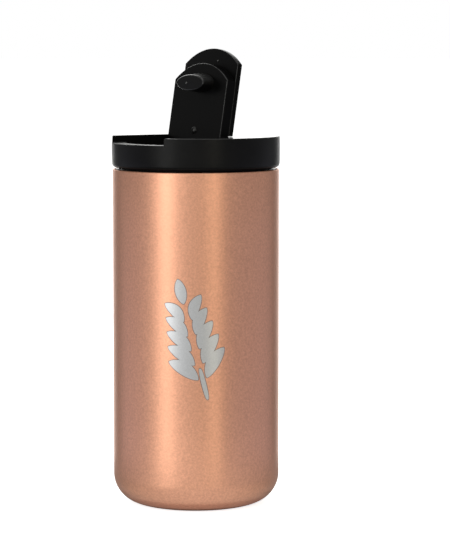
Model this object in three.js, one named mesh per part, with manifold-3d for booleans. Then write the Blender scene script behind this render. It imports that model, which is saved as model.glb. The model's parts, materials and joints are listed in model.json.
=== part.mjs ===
// Insulated drinking flask with a screw lid and a flip-up flap.
// Millimetres, +Z up. Origin: centre of the flat foot ring, on the surface that the flask stands on.
// The flap is modelled in its open position, leaning back against the rear edge of its pocket.

import * as THREE from "three";
import { mergeVertices } from "three/addons/utils/BufferGeometryUtils.js";
import Module from "manifold-3d";

const wasm = await Module();
wasm.setup();

// ---------------------------------------------------------------- driving dimensions

const ROUND = 48; // facets of a full turn
const GAP = 0.3; // clearance between pieces that touch

const BODY_RADIUS = 37.1;
const BODY_TOP = 149.8;
const SHEET = 0.5; // steel wall of the outer shell
const BASE_FILLET = 13.1;
const BASE_HOLE_RADIUS = 20;
const MOUTH_CURL = 0.6; // radius of the shell's folded top edge
const CURL_LEDGE = 0.6; // flat width of the shell inside that edge
const BASE_PLATE_RADIUS = 23.2;
const PORT_DEPTH = 1.2; // dimple of the evacuation port, from below
const FOIL = 0.3;
const GETTER = { radius: 4, thickness: 1.2, offset: 12 };

const LINER_SHEET = 0.4;
const LINER_RADIUS = 33.2; // inside
const LINER_FLOOR = 6; // inside bottom of the drinking vessel
const LINER_FILLET = 11;
const LINER_SEAM = LINER_FLOOR + LINER_FILLET + 3; // where the pressed bottom is welded on

const THREAD_PITCH = 5;
const THREAD_TURNS = 1.25;
const THREAD_START = 139.5; // height of the vessel's thread at its lower end
const THREAD_ROOT_WIDTH = 2.2; // the ridge's section is a trapezoid
const THREAD_CREST_WIDTH = 1;
const VESSEL_THREAD_CREST = 32.1;
const LID_THREAD_CREST = 32.9;

const LID_RADIUS = 37.5;
const LID_TOP = 164.5;
const LID_BOTTOM = 150.6;
const LID_BOTTOM_FILLET = 1.8;
const LID_WALL = 2.2;
const LID_SKIRT_RADIUS = LID_RADIUS - LID_WALL;
const PLUG_RADIUS = 31.6;
const PLUG_WALL = 1.8;
const PLUG_BOTTOM = 134.5;
const PLUG_FLOOR = 1.6;
const PLUG_FLANGE = 1.6;
const PLUG_FLANGE_LOW = 151.9;
const GASKET_INNER_RADIUS = 33.4;
const GASKET_RADIUS = 34.7;

// Lid frame: X runs from the lid's axis towards the drinking side, Y along the hinge.
const DRINKING_SIDE = THREE.MathUtils.degToRad(-147.7); // heading of that X axis in the flask's frame
const HINGE_X = -3.5;
const HINGE_Z = 162.7;
const OPEN_ANGLE = THREE.MathUtils.degToRad(99);

const POCKET_HALF_WIDTH = 22;
const POCKET_REAR = -5.9;
const POCKET_ARC_CENTRE = -5.3; // on the lid frame's X axis; the pocket's front is an arc about it
const POCKET_FRONT_RADIUS = 36;
const POCKET_FLOOR = 157.2;
const POCKET_FLOOR_THICKNESS = 2;
const POCKET_WALL = 2.4;
const NOTCH_FLOOR = 161.4; // low part of the rim, under the flap's lip
const SHELF_THICKNESS = 2.2;

const FLAP_HALF_WIDTH = 21.65;
const FLAP_LIP_RADIUS = 37.4;
const FLAP_TRAY_RADIUS = 35.4; // about the pocket arc's centre
const FLAP_TOP = LID_TOP - HINGE_Z; // flap heights are counted from the hinge axis
const FLAP_COVER_THICKNESS = 2.5;
const FLAP_TOTAL_THICKNESS = 6.9;
const FLAP_WALL = 1.5;
const FLAP_TRAY_REAR = -1.4; // from the hinge axis
const BARREL_RADIUS = 1.8;
const PIN_RADIUS = 1;
const PIN_BORE_RADIUS = 1.15;
const PIN_INNER_END = 15.2;
const PIN_OUTER_END = POCKET_HALF_WIDTH + POCKET_WALL - 0.2;

const SLOT = { x: 21.45, halfLength: 4.9, halfWidth: 11.8 }; // drinking slot, lid frame
const STOPPER_TIP = { x: 20.5, halfLength: 3.55, halfWidth: 11 };
const STOPPER_ROOT = { x: 21.3, halfLength: 4.35, halfWidth: 11.2 };
const STOPPER_LENGTH = 5.7;
const CHANNEL_WALL = 1.3;
const VENT_RADIUS = 0.9;
const VENT_SEAT_RADIUS = 3;
const VENT_PLUG_RADIUS = 2;
const VENT_PLUG_LENGTH = 1.2;
const STOPPER_FLANGE_EDGE = 1.5; // how far the hidden flange reaches past the stem
const VENT_FLANGE_EDGE = 1;

// ---------------------------------------------------------------- materials

function material(color, roughness, metalness) {
  return new THREE.MeshStandardMaterial({ color, roughness, metalness });
}

const copperCoat = material(0xc98c6e, 0.45, 0.6);
const brushedSteel = material(0xb9bcbe, 0.35, 1);
const copperFoil = material(0xb87348, 0.3, 1);
const blackPlastic = material(0x1b1a1a, 0.6, 0);
const blackRubber = material(0x151414, 0.8, 0);
const whiteFoam = material(0xe9e6df, 0.95, 0);
const greyAlloy = material(0x8f9193, 0.5, 0.8);

// ---------------------------------------------------------------- shape helpers

// A closed geometry as a manifold-3d solid, for cutting and joining.
function solid(geometry) {
  const bare = geometry.index ? geometry.toNonIndexed() : geometry.clone();
  bare.deleteAttribute("normal");
  bare.deleteAttribute("uv");
  const merged = mergeVertices(bare, 1e-4);
  return new wasm.Manifold(
    new wasm.Mesh({
      numProp: 3,
      vertProperties: merged.attributes.position.array,
      triVerts: new Uint32Array(merged.index.array),
    }),
  );
}

// The geometry of a manifold-3d solid.
function geometryOf(shape) {
  const { vertProperties, triVerts } = shape.getMesh();
  const geometry = new THREE.BufferGeometry();
  geometry.setAttribute("position", new THREE.BufferAttribute(vertProperties, 3));
  geometry.setIndex(new THREE.BufferAttribute(triVerts, 1));
  geometry.computeVertexNormals();
  return geometry;
}

// One geometry made of a base, pieces joined to it and pieces then cut away.
function combine(base, joined, cut = []) {
  let shape = solid(base);
  for (const piece of joined) shape = shape.add(solid(piece));
  for (const piece of cut) shape = shape.subtract(solid(piece));
  return geometryOf(shape);
}

// A body turned about Z. The outline holds [radius, height] pairs, drawn up the outside first.
function turned(outline, facets = ROUND) {
  const points = outline.map(([radius, height]) => new THREE.Vector2(radius, height));
  return new THREE.LatheGeometry(points, facets).rotateX(Math.PI / 2);
}

// Points of a circular arc in an outline, from one angle to another, in degrees.
function arc(centreRadius, centreHeight, radius, from, to, steps) {
  const points = [];
  for (let i = 0; i <= steps; i++) {
    const angle = THREE.MathUtils.degToRad(from + ((to - from) * i) / steps);
    points.push([
      centreRadius + radius * Math.cos(angle),
      centreHeight + radius * Math.sin(angle),
    ]);
  }
  return points;
}

// A ring between two radii and two heights.
function ring(inner, outer, low, high, facets = ROUND) {
  return turned([[inner, low], [outer, low], [outer, high], [inner, high], [inner, low]], facets);
}

// A disc or rod on the Z axis.
function disc(radius, low, high, facets = ROUND) {
  return turned([[0, low], [radius, low], [radius, high], [0, high]], facets);
}

// A flat shape given a thickness between two heights.
function slab(shape, low, high, curveSegments = 20) {
  const options = { depth: high - low, bevelEnabled: false, curveSegments };
  return new THREE.ExtrudeGeometry(shape, options).translate(0, 0, low);
}

// Plan of the flap and its pocket: straight sides, and a front end that is an arc about a point on X.
function tongue(rear, halfWidth, frontRadius, centreX = 0) {
  const half = Math.asin(halfWidth / frontRadius);
  const shape = new THREE.Shape();
  shape.moveTo(rear, -halfWidth);
  shape.lineTo(centreX + frontRadius * Math.cos(half), -halfWidth);
  shape.absarc(centreX, 0, frontRadius, -half, half, false);
  shape.lineTo(rear, halfWidth);
  shape.closePath();
  return shape;
}

// An oval plan, grown all round by a margin.
function oval({ x, halfLength, halfWidth }, margin = 0, shiftX = 0) {
  const shape = new THREE.Shape();
  shape.absellipse(x + shiftX, 0, halfLength + margin, halfWidth + margin, 0, 2 * Math.PI);
  return shape;
}

// A rod along Y between two distances from the middle plane.
function crossRod(radius, from, to, facets = 20) {
  const rod = new THREE.CylinderGeometry(radius, radius, to - from, facets);
  return rod.translate(0, (from + to) / 2, 0);
}

// A screw ridge: a trapezoid section carried up a helix from its root radius to its crest radius.
function screwRidge(rootRadius, crestRadius, lowHeight) {
  const steps = Math.round(THREAD_TURNS * ROUND);
  const inward = crestRadius < rootRadius;
  const root = THREAD_ROOT_WIDTH / 2;
  const crest = THREAD_CREST_WIDTH / 2;
  const section = [
    [rootRadius, -root],
    [crestRadius, -crest],
    [crestRadius, crest],
    [rootRadius, root],
  ];
  if (inward) section.reverse();
  const positions = [];
  for (let i = 0; i <= steps; i++) {
    const angle = (i / steps) * THREAD_TURNS * 2 * Math.PI;
    const height = lowHeight + (i / steps) * THREAD_TURNS * THREAD_PITCH;
    for (const [radius, offset] of section) {
      positions.push(radius * Math.cos(angle), radius * Math.sin(angle), height + offset);
    }
  }
  const index = [0, 1, 2, 0, 2, 3];
  for (let i = 0; i < steps; i++) {
    for (let k = 0; k < 4; k++) {
      const a = 4 * i + k;
      const b = 4 * i + ((k + 1) % 4);
      index.push(a, a + 4, b, b, a + 4, b + 4);
    }
  }
  const last = 4 * steps;
  index.push(last, last + 2, last + 1, last, last + 3, last + 2);
  const geometry = new THREE.BufferGeometry();
  geometry.setAttribute("position", new THREE.Float32BufferAttribute(positions, 3));
  geometry.setIndex(index);
  return geometry;
}

function named(name, geometry, look) {
  const mesh = new THREE.Mesh(geometry, look);
  mesh.name = name;
  return mesh;
}

// ---------------------------------------------------------------- vessel

// Coated outer wall: foot ring, round bottom corner, straight side and a curl in at the mouth.
function outerShell() {
  const cornerX = BODY_RADIUS - BASE_FILLET;
  const curlX = BODY_RADIUS - MOUTH_CURL;
  const curlZ = BODY_TOP - MOUTH_CURL;
  return turned([
    [BASE_HOLE_RADIUS, 0],
    ...arc(cornerX, BASE_FILLET, BASE_FILLET, -90, 0, 7),
    ...arc(curlX, curlZ, MOUTH_CURL, 0, 90, 3),
    [curlX - CURL_LEDGE, BODY_TOP],
    [curlX - CURL_LEDGE, BODY_TOP - SHEET],
    ...arc(curlX, curlZ, MOUTH_CURL - SHEET, 90, 0, 2),
    ...arc(cornerX, BASE_FILLET, BASE_FILLET - SHEET, 0, -90, 7),
    [BASE_HOLE_RADIUS, SHEET],
    [BASE_HOLE_RADIUS, 0],
  ]);
}

// Straight part of the drinking vessel, with its mouth flange and the rolled screw thread.
function innerLiner() {
  const outside = LINER_RADIUS + LINER_SHEET;
  const flangeRadius = BODY_RADIUS - MOUTH_CURL - CURL_LEDGE - GAP;
  const chamfer = 0.6;
  const wall = turned([
    [LINER_RADIUS, LINER_SEAM],
    [outside, LINER_SEAM],
    [outside, BODY_TOP - chamfer - LINER_SHEET],
    [flangeRadius, BODY_TOP - chamfer],
    [flangeRadius, BODY_TOP],
    [LINER_RADIUS + chamfer, BODY_TOP],
    [LINER_RADIUS, BODY_TOP - chamfer],
    [LINER_RADIUS, LINER_SEAM],
  ]);
  const ridge = screwRidge(LINER_RADIUS + LINER_SHEET / 2, VESSEL_THREAD_CREST, THREAD_START);
  return combine(wall, [ridge.rotateZ(DRINKING_SIDE)]);
}

// Pressed bottom of the drinking vessel, welded to the straight part.
function linerBottom() {
  const cornerX = LINER_RADIUS - LINER_FILLET;
  const cornerZ = LINER_FLOOR + LINER_FILLET;
  const outside = LINER_FILLET + LINER_SHEET;
  const rim = LINER_SEAM - GAP;
  return turned([
    [0, LINER_FLOOR - LINER_SHEET],
    ...arc(cornerX, cornerZ, outside, -90, 0, 6),
    [LINER_RADIUS + LINER_SHEET, rim],
    [LINER_RADIUS, rim],
    ...arc(cornerX, cornerZ, LINER_FILLET, 0, -90, 6),
    [0, LINER_FLOOR],
  ]);
}

// Heat-reflecting foil around the vessel, inside the vacuum space. It is a sleeve with an open slit.
function foilWrap() {
  const inner = LINER_RADIUS + LINER_SHEET + GAP;
  const clearOfWelds = 4;
  const top = THREAD_START - clearOfWelds;
  const sleeve = ring(inner, inner + FOIL, LINER_SEAM + clearOfWelds, top);
  const slit = new THREE.BoxGeometry(4, 2, BODY_TOP).translate(0, inner, BODY_TOP / 2);
  return combine(sleeve, [], [slit]);
}

// Bottom plate of the vacuum space, with the dimple and hole of the evacuation port.
function basePlate() {
  const low = SHEET + GAP;
  const dimple = low + PORT_DEPTH;
  const portHole = 0.8;
  const plate = turned([
    [0, dimple],
    [3.6, dimple],
    [4.4, low],
    [BASE_PLATE_RADIUS, low],
    [BASE_PLATE_RADIUS, low + SHEET],
    [5, low + SHEET],
    [4.2, dimple + SHEET],
    [0, dimple + SHEET],
  ]);
  return combine(plate, [], [disc(portHole, low, dimple + 1, 12)]);
}

// Solder bead that seals the evacuation port.
function portSeal() {
  const top = SHEET + PORT_DEPTH;
  return turned([[0, top - 0.8], [2.2, top - 0.6], [3.1, top - 0.2], [3.1, top], [0, top]], 24);
}

// Thin round cover over the base plate, set in the foot ring, with a shallow pressed ring.
function baseCover() {
  const edge = BASE_HOLE_RADIUS - GAP;
  const low = 0.1;
  const pressed = low + 0.2;
  const thickness = 0.3;
  return turned([
    [0, pressed],
    [13, pressed],
    [13.6, low],
    [edge, low],
    [edge, low + thickness],
    [13.8, low + thickness],
    [13.2, pressed + thickness],
    [0, pressed + thickness],
  ]);
}

// Getter pill that keeps the vacuum, fixed under the drinking vessel.
function getter() {
  const top = LINER_FLOOR - LINER_SHEET - GAP;
  return disc(GETTER.radius, top - GETTER.thickness, top, 24).translate(GETTER.offset, 0, 0);
}

// ---------------------------------------------------------------- lid

// Seal between the lid's flange and the vessel's mouth.
function lidGasket() {
  const low = BODY_TOP + GAP;
  const high = PLUG_FLANGE_LOW - GAP;
  const bevel = 0.3;
  return turned([
    [GASKET_INNER_RADIUS, low],
    [GASKET_RADIUS - bevel, low],
    [GASKET_RADIUS, low + bevel],
    [GASKET_RADIUS, high - bevel],
    [GASKET_RADIUS - bevel, high],
    [GASKET_INNER_RADIUS, high],
    [GASKET_INNER_RADIUS, low],
  ]);
}

// Skirt and deck of the lid cover, slightly barrelled, with rounded edges and hollow underneath.
function lidBand() {
  const barrel = 0.1;
  const fillet = LID_BOTTOM_FILLET;
  return turned([
    [LID_SKIRT_RADIUS, LID_BOTTOM],
    ...arc(LID_RADIUS - barrel - fillet, LID_BOTTOM + fillet, fillet, -90, 0, 4),
    [LID_RADIUS, (LID_BOTTOM + LID_TOP) / 2],
    ...arc(LID_RADIUS - barrel - 0.4, LID_TOP - 0.4, 0.4, 0, 90, 2),
    [0, LID_TOP],
    [0, LID_TOP - LID_WALL],
    [LID_SKIRT_RADIUS, LID_TOP - LID_WALL],
    [LID_SKIRT_RADIUS, LID_BOTTOM],
  ]);
}

// Lid cover: band and deck, with the flap's pocket, the lip's notch, the drinking slot and the vent.
function lidCover() {
  const tubBottom = POCKET_FLOOR - POCKET_FLOOR_THICKNESS;
  const deckUnderside = LID_TOP - LID_WALL;
  const outerHalfWidth = POCKET_HALF_WIDTH + POCKET_WALL;
  const tubOuter = tongue(
    POCKET_REAR - POCKET_WALL,
    outerHalfWidth,
    POCKET_FRONT_RADIUS + LID_WALL,
    POCKET_ARC_CENTRE,
  );
  const shelf = tongue(10, outerHalfWidth, LID_SKIRT_RADIUS + 0.7);
  const pocket = tongue(POCKET_REAR, POCKET_HALF_WIDTH, POCKET_FRONT_RADIUS, POCKET_ARC_CENTRE);
  const notch = tongue(10, POCKET_HALF_WIDTH, LID_RADIUS + 8);
  const above = LID_TOP + 5;
  const joined = [
    slab(tubOuter, tubBottom, deckUnderside + 0.5),
    slab(shelf, NOTCH_FLOOR - SHELF_THICKNESS, deckUnderside + 0.5),
  ];
  const cut = [
    slab(pocket, POCKET_FLOOR, above),
    slab(notch, NOTCH_FLOOR, above),
    slab(oval(SLOT), tubBottom - 1, POCKET_FLOOR + 1, 16),
    disc(VENT_SEAT_RADIUS, POCKET_FLOOR - 1, POCKET_FLOOR + 1, 24),
    disc(VENT_RADIUS, tubBottom - 1, POCKET_FLOOR, 12),
  ];
  for (const side of [-1, 1]) {
    const bore = crossRod(PIN_BORE_RADIUS, POCKET_HALF_WIDTH - 1, outerHalfWidth + 1);
    if (side < 0) bore.rotateZ(Math.PI);
    cut.push(bore.translate(HINGE_X, 0, HINGE_Z));
  }
  return combine(lidBand(), joined, cut);
}

// Lower half of the lid: threaded plug, sealing flange, drinking channel and vent tube.
function lidPlug() {
  const flangeHigh = PLUG_FLANGE_LOW + PLUG_FLANGE;
  const inner = PLUG_RADIUS - PLUG_WALL;
  const floorTop = PLUG_BOTTOM + PLUG_FLOOR;
  const tubeTop = POCKET_FLOOR - POCKET_FLOOR_THICKNESS - GAP;
  const cup = turned([
    [0, PLUG_BOTTOM],
    [PLUG_RADIUS - 0.8, PLUG_BOTTOM],
    [PLUG_RADIUS, PLUG_BOTTOM + 0.8],
    [PLUG_RADIUS, PLUG_FLANGE_LOW],
    [LID_SKIRT_RADIUS - GAP, PLUG_FLANGE_LOW],
    [LID_SKIRT_RADIUS - GAP, flangeHigh],
    [inner, flangeHigh],
    [inner, floorTop],
    [0, floorTop],
  ]);
  const joined = [
    screwRidge(PLUG_RADIUS - 0.3, LID_THREAD_CREST, THREAD_START - THREAD_PITCH / 2),
    slab(oval(SLOT, CHANNEL_WALL), PLUG_BOTTOM + 0.5, tubeTop, 16),
    disc(VENT_RADIUS + CHANNEL_WALL, PLUG_BOTTOM + 0.5, tubeTop, 16),
  ];
  const cut = [
    slab(oval(SLOT), PLUG_BOTTOM - 1, tubeTop + 1, 16),
    disc(VENT_RADIUS, PLUG_BOTTOM - 1, tubeTop + 1, 12),
  ];
  return combine(cup, joined, cut);
}

// Foam disc inside the plug, with holes for the drinking channel and the vent tube.
function lidInsulation() {
  const low = PLUG_BOTTOM + PLUG_FLOOR + GAP;
  const high = PLUG_FLANGE_LOW;
  const foam = disc(PLUG_RADIUS - PLUG_WALL - 0.4, low, high);
  return combine(foam, [], [
    slab(oval(SLOT, CHANNEL_WALL + 0.4), low - 1, high + 1, 16),
    disc(VENT_RADIUS + CHANNEL_WALL + 0.4, low - 1, high + 1, 16),
  ]);
}

// Steel stub pin on one side of the hinge.
function hingePin(side) {
  const pin = crossRod(PIN_RADIUS, PIN_INNER_END, PIN_OUTER_END);
  return side < 0 ? pin.rotateZ(Math.PI) : pin;
}

// ---------------------------------------------------------------- flap
// Flap shapes are drawn closed, with the hinge axis as their origin.

const LID_AXIS_X = -HINGE_X; // the lid's axis, seen from the hinge
const FLAP_UNDERSIDE = FLAP_TOP - FLAP_TOTAL_THICKNESS;

// Outer plate of the flap, with the thumb lip that closes flush with the band.
function flapCover() {
  const plan = tongue(BARREL_RADIUS + 0.4, FLAP_HALF_WIDTH, FLAP_LIP_RADIUS, LID_AXIS_X);
  return slab(plan, FLAP_TOP - FLAP_COVER_THICKNESS, FLAP_TOP);
}

// Hollow tray under the outer plate, with the hinge barrel and the holes that hold the rubber pieces.
function flapTray() {
  const high = FLAP_TOP - FLAP_COVER_THICKNESS - GAP;
  const floorTop = FLAP_UNDERSIDE + FLAP_WALL;
  const arcCentre = LID_AXIS_X + POCKET_ARC_CENTRE;
  const outside = tongue(FLAP_TRAY_REAR, FLAP_HALF_WIDTH, FLAP_TRAY_RADIUS, arcCentre);
  const hollow = tongue(
    FLAP_TRAY_REAR + FLAP_WALL,
    FLAP_HALF_WIDTH - FLAP_WALL,
    FLAP_TRAY_RADIUS - FLAP_WALL,
    arcCentre,
  );
  const rib = new THREE.BoxGeometry(FLAP_WALL, 2 * FLAP_HALF_WIDTH, 2.6)
    .translate(FLAP_TRAY_REAR + FLAP_WALL / 2, 0, -1.3);
  const barrel = crossRod(BARREL_RADIUS, -FLAP_HALF_WIDTH, FLAP_HALF_WIDTH);
  const cut = [
    slab(hollow, floorTop, high + 1),
    slab(oval(STOPPER_ROOT, GAP, LID_AXIS_X), FLAP_UNDERSIDE - 1, floorTop + 1, 16),
    disc(VENT_PLUG_RADIUS + GAP, FLAP_UNDERSIDE - 1, floorTop + 1, 20).translate(LID_AXIS_X, 0, 0),
  ];
  for (const turn of [0, Math.PI]) {
    cut.push(crossRod(PIN_BORE_RADIUS, PIN_INNER_END - GAP, FLAP_HALF_WIDTH + 1).rotateZ(turn));
  }
  return combine(slab(outside, FLAP_UNDERSIDE, high), [rib, barrel], cut);
}

// Rubber stopper for the drinking slot. Its front leans back towards the tip, so that it swings clear.
function slotStopper() {
  const tip = FLAP_UNDERSIDE - STOPPER_LENGTH;
  const inside = FLAP_UNDERSIDE + FLAP_WALL + GAP;
  const bevel = 0.7;
  const stem = new THREE.ExtrudeGeometry(oval(STOPPER_ROOT, -bevel, LID_AXIS_X), {
    depth: inside - tip - bevel + 0.2,
    bevelThickness: bevel,
    bevelSize: bevel,
    bevelSegments: 2,
    curveSegments: 16,
  }).translate(0, 0, tip + bevel);
  const rootX = STOPPER_ROOT.x + LID_AXIS_X;
  const tipX = STOPPER_TIP.x + LID_AXIS_X;
  const narrow = STOPPER_TIP.halfLength / STOPPER_ROOT.halfLength;
  const slim = STOPPER_TIP.halfWidth / STOPPER_ROOT.halfWidth;
  const position = stem.attributes.position;
  for (let i = 0; i < position.count; i++) {
    const z = position.getZ(i);
    const toTip = THREE.MathUtils.clamp((FLAP_UNDERSIDE - z) / STOPPER_LENGTH, 0, 1);
    const x = position.getX(i) - rootX;
    const centre = THREE.MathUtils.lerp(rootX, tipX, toTip);
    position.setX(i, centre + x * THREE.MathUtils.lerp(1, narrow, toTip));
    position.setY(i, position.getY(i) * THREE.MathUtils.lerp(1, slim, toTip));
  }
  const flange = slab(oval(STOPPER_ROOT, STOPPER_FLANGE_EDGE, LID_AXIS_X), inside, inside + 0.9, 16);
  return combine(stem, [flange]);
}

// Rubber pip that closes the vent.
function ventPlug() {
  const tip = FLAP_UNDERSIDE - VENT_PLUG_LENGTH;
  const inside = FLAP_UNDERSIDE + FLAP_WALL + GAP;
  return turned([
    [0, tip],
    [VENT_PLUG_RADIUS - 0.7, tip],
    [VENT_PLUG_RADIUS, tip + 0.7],
    [VENT_PLUG_RADIUS, inside],
    [VENT_PLUG_RADIUS + VENT_FLANGE_EDGE, inside],
    [VENT_PLUG_RADIUS + VENT_FLANGE_EDGE, inside + 0.9],
    [0, inside + 0.9],
  ], 24).translate(LID_AXIS_X, 0, 0);
}

// ---------------------------------------------------------------- assembly

const vessel = new THREE.Group();
vessel.add(
  named("outer_shell", outerShell(), copperCoat),
  named("inner_liner", innerLiner(), brushedSteel),
  named("liner_bottom", linerBottom(), brushedSteel),
  named("foil_wrap", foilWrap(), copperFoil),
  named("base_plate", basePlate(), brushedSteel),
  named("port_seal", portSeal(), greyAlloy),
  named("base_cover", baseCover(), copperCoat),
  named("getter", getter(), greyAlloy),
);

const flap = new THREE.Group();
flap.position.set(HINGE_X, 0, HINGE_Z);
flap.rotation.y = -OPEN_ANGLE;
flap.add(
  named("flap_cover", flapCover(), blackPlastic),
  named("flap_tray", flapTray(), blackPlastic),
  named("slot_stopper", slotStopper(), blackRubber),
  named("vent_plug", ventPlug(), blackRubber),
);

const lid = new THREE.Group();
lid.rotation.z = DRINKING_SIDE;
lid.add(
  named("lid_gasket", lidGasket(), blackRubber),
  named("lid_cover", lidCover(), blackPlastic),
  named("lid_plug", lidPlug(), blackPlastic),
  named("lid_insulation", lidInsulation(), whiteFoam),
  flap,
);
for (const [name, side] of [["hinge_pin_left", -1], ["hinge_pin_right", 1]]) {
  const pin = named(name, hingePin(side), brushedSteel);
  pin.position.set(HINGE_X, 0, HINGE_Z);
  lid.add(pin);
}

const flask = new THREE.Group();
flask.add(vessel, lid);

export default flask;
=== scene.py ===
"""Looks of the insulated flask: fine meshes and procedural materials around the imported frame.

Metres, +Z up, the same frame as the CAD. The flask stands on z = 0 and its front faces -Y.
"""

import json
from math import asin, atan2, cos, pi, radians, sin, tau

import bmesh
import bpy
from mathutils import Matrix, Vector


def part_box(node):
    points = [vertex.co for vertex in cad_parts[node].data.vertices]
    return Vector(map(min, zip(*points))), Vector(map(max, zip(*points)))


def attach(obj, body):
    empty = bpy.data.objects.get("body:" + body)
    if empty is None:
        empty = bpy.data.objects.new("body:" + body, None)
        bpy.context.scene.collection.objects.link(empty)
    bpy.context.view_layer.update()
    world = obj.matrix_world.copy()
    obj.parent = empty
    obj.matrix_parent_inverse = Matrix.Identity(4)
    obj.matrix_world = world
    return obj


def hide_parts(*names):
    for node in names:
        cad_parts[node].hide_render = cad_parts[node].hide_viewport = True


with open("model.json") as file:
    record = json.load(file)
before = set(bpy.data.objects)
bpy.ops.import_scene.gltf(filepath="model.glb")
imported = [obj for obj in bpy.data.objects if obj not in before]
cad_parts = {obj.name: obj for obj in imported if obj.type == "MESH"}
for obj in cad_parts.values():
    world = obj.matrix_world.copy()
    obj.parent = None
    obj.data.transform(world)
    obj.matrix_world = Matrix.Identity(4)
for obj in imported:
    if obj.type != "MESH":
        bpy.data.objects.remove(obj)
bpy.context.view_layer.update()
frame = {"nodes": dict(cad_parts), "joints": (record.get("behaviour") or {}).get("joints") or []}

MM = 0.001
ROUND = 192  # facets of a full turn on the visible pieces
SHARP_ANGLE = 35  # degrees; edges that bend more than this are shaded sharp

# ------------------------------------------------------------------ sizes

shell_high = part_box("outer_shell")[1]
BODY_RADIUS = shell_high.x
BODY_TOP = shell_high.z
BASE_FILLET = 13.1 * MM
BASE_HOLE = 20 * MM
MOUTH_CURL = 0.6 * MM
SHEET = 0.5 * MM

LINER_RADIUS = 33.2 * MM
LINER_SHEET = 0.4 * MM
LINER_FILLET = 11 * MM
LINER_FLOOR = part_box("liner_bottom")[0].z + LINER_SHEET
THREAD_PITCH = 5 * MM
THREAD_TURNS = 1.25
VESSEL_THREAD_START = 139.5 * MM
VESSEL_THREAD_CREST = 32.1 * MM
LID_THREAD_CREST = 32.9 * MM

cover_low, cover_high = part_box("lid_cover")
LID_RADIUS = 37.5 * MM
LID_TOP = cover_high.z
LID_BOTTOM = cover_low.z
LID_FILLET = 1.8 * MM
LID_WALL = 2.2 * MM
SKIRT_RADIUS = LID_RADIUS - LID_WALL
PLUG_RADIUS = 31.6 * MM
PLUG_WALL = 1.8 * MM
PLUG_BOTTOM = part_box("lid_plug")[0].z
PLUG_FLANGE_LOW = 151.9 * MM
GASKET_RADIUS = 34.7 * MM

flap_joint = next(j for j in frame["joints"] if j["name"] == "flap_hinge")
HINGE = Vector(flap_joint["pos_m"])
HINGE_AXIS = Vector(flap_joint["axis"])
OPEN_ANGLE = radians(flap_joint["range_deg"][1])
DRINKING_SIDE = atan2(-HINGE_AXIS.x, HINGE_AXIS.y)  # heading of the lid frame's X axis
LID_FRAME = Matrix.Rotation(DRINKING_SIDE, 4, "Z")
HINGE_X = (LID_FRAME.inverted() @ HINGE).x
HINGE_Z = HINGE.z
FLAP_FRAME = (
    LID_FRAME
    @ Matrix.Translation((HINGE_X, 0, HINGE_Z))
    @ Matrix.Rotation(-OPEN_ANGLE, 4, "Y")
)

POCKET_HALF_WIDTH = 22 * MM
POCKET_REAR = -5.9 * MM
POCKET_ARC_CENTRE = -5.3 * MM  # the fronts of the pocket and of the flap's block are arcs about it
POCKET_FRONT = 36 * MM
POCKET_FLOOR = 157.2 * MM
POCKET_FLOOR_THICKNESS = 2 * MM
POCKET_WALL = 2.4 * MM
NOTCH_REAR = 10 * MM
NOTCH_FLOOR = 161.4 * MM
SLOT = (21.45 * MM, 4.9 * MM, 11.8 * MM)  # centre x, half length along x, half width
VENT_RADIUS = 0.9 * MM
VENT_SEAT = 3 * MM
VENT_SEAT_DEPTH = 1 * MM
CHANNEL_WALL = 1.3 * MM
OVERCUT = 1 * MM  # how far a cutter reaches past what it cuts

FLAP_HALF_WIDTH = 21.65 * MM
FLAP_LIP = 37.4 * MM
FLAP_BLOCK = 35.4 * MM
FLAP_TOP = LID_TOP - HINGE_Z
FLAP_PLATE = 2.5 * MM
FLAP_UNDERSIDE = FLAP_TOP - 6.9 * MM
BARREL = 1.8 * MM
STOPPER_TIP = (20.5 * MM, 3.55 * MM, 11 * MM)  # centre x, half length along x, half width
STOPPER_ROOT = (21.3 * MM, 4.35 * MM, 11.2 * MM)
STOPPER_LENGTH = 5.7 * MM
PIP_RADIUS = 2 * MM
PIP_LENGTH = 1.2 * MM


# ------------------------------------------------------------------ mesh helpers

def new_object(name, verts, faces, matrix=None, sharp=SHARP_ANGLE):
    """A smooth-shaded mesh object, its vertices moved by the matrix."""
    mesh = bpy.data.meshes.new(name)
    mesh.from_pydata([tuple(v) for v in verts], [], faces)
    if matrix is not None:
        mesh.transform(matrix)
    bm = bmesh.new()
    bm.from_mesh(mesh)
    bmesh.ops.remove_doubles(bm, verts=bm.verts, dist=1e-7)
    bmesh.ops.recalc_face_normals(bm, faces=bm.faces)
    bm.to_mesh(mesh)
    bm.free()
    mesh.shade_smooth()
    mesh.set_sharp_from_angle(angle=radians(sharp))
    obj = bpy.data.objects.new(name, mesh)
    bpy.context.scene.collection.objects.link(obj)
    return obj


def arc(centre_r, centre_z, radius, start, end, steps):
    """Points of a circular arc in an outline, from one angle to another, in degrees."""
    points = []
    for i in range(steps + 1):
        a = radians(start + (end - start) * i / steps)
        points.append((centre_r + radius * cos(a), centre_z + radius * sin(a)))
    return points


def turned(outline, facets=ROUND):
    """Vertices and faces of an outline of (radius, height) pairs turned about Z. The outline closes."""
    verts, faces, columns = [], [], len(outline)
    for k in range(facets):
        a = tau * k / facets
        verts += [(r * cos(a), r * sin(a), z) for r, z in outline]
    for k in range(facets):
        here, there = k * columns, (k + 1) % facets * columns
        for i in range(columns):
            j = (i + 1) % columns
            on_axis = [outline[i][0] < 1e-9, outline[j][0] < 1e-9]
            if all(on_axis):
                continue
            if on_axis[0]:
                faces.append((here + i, there + j, here + j))
            elif on_axis[1]:
                faces.append((here + i, there + i, here + j))
            else:
                faces.append((here + i, there + i, there + j, here + j))
    return verts, faces


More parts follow.
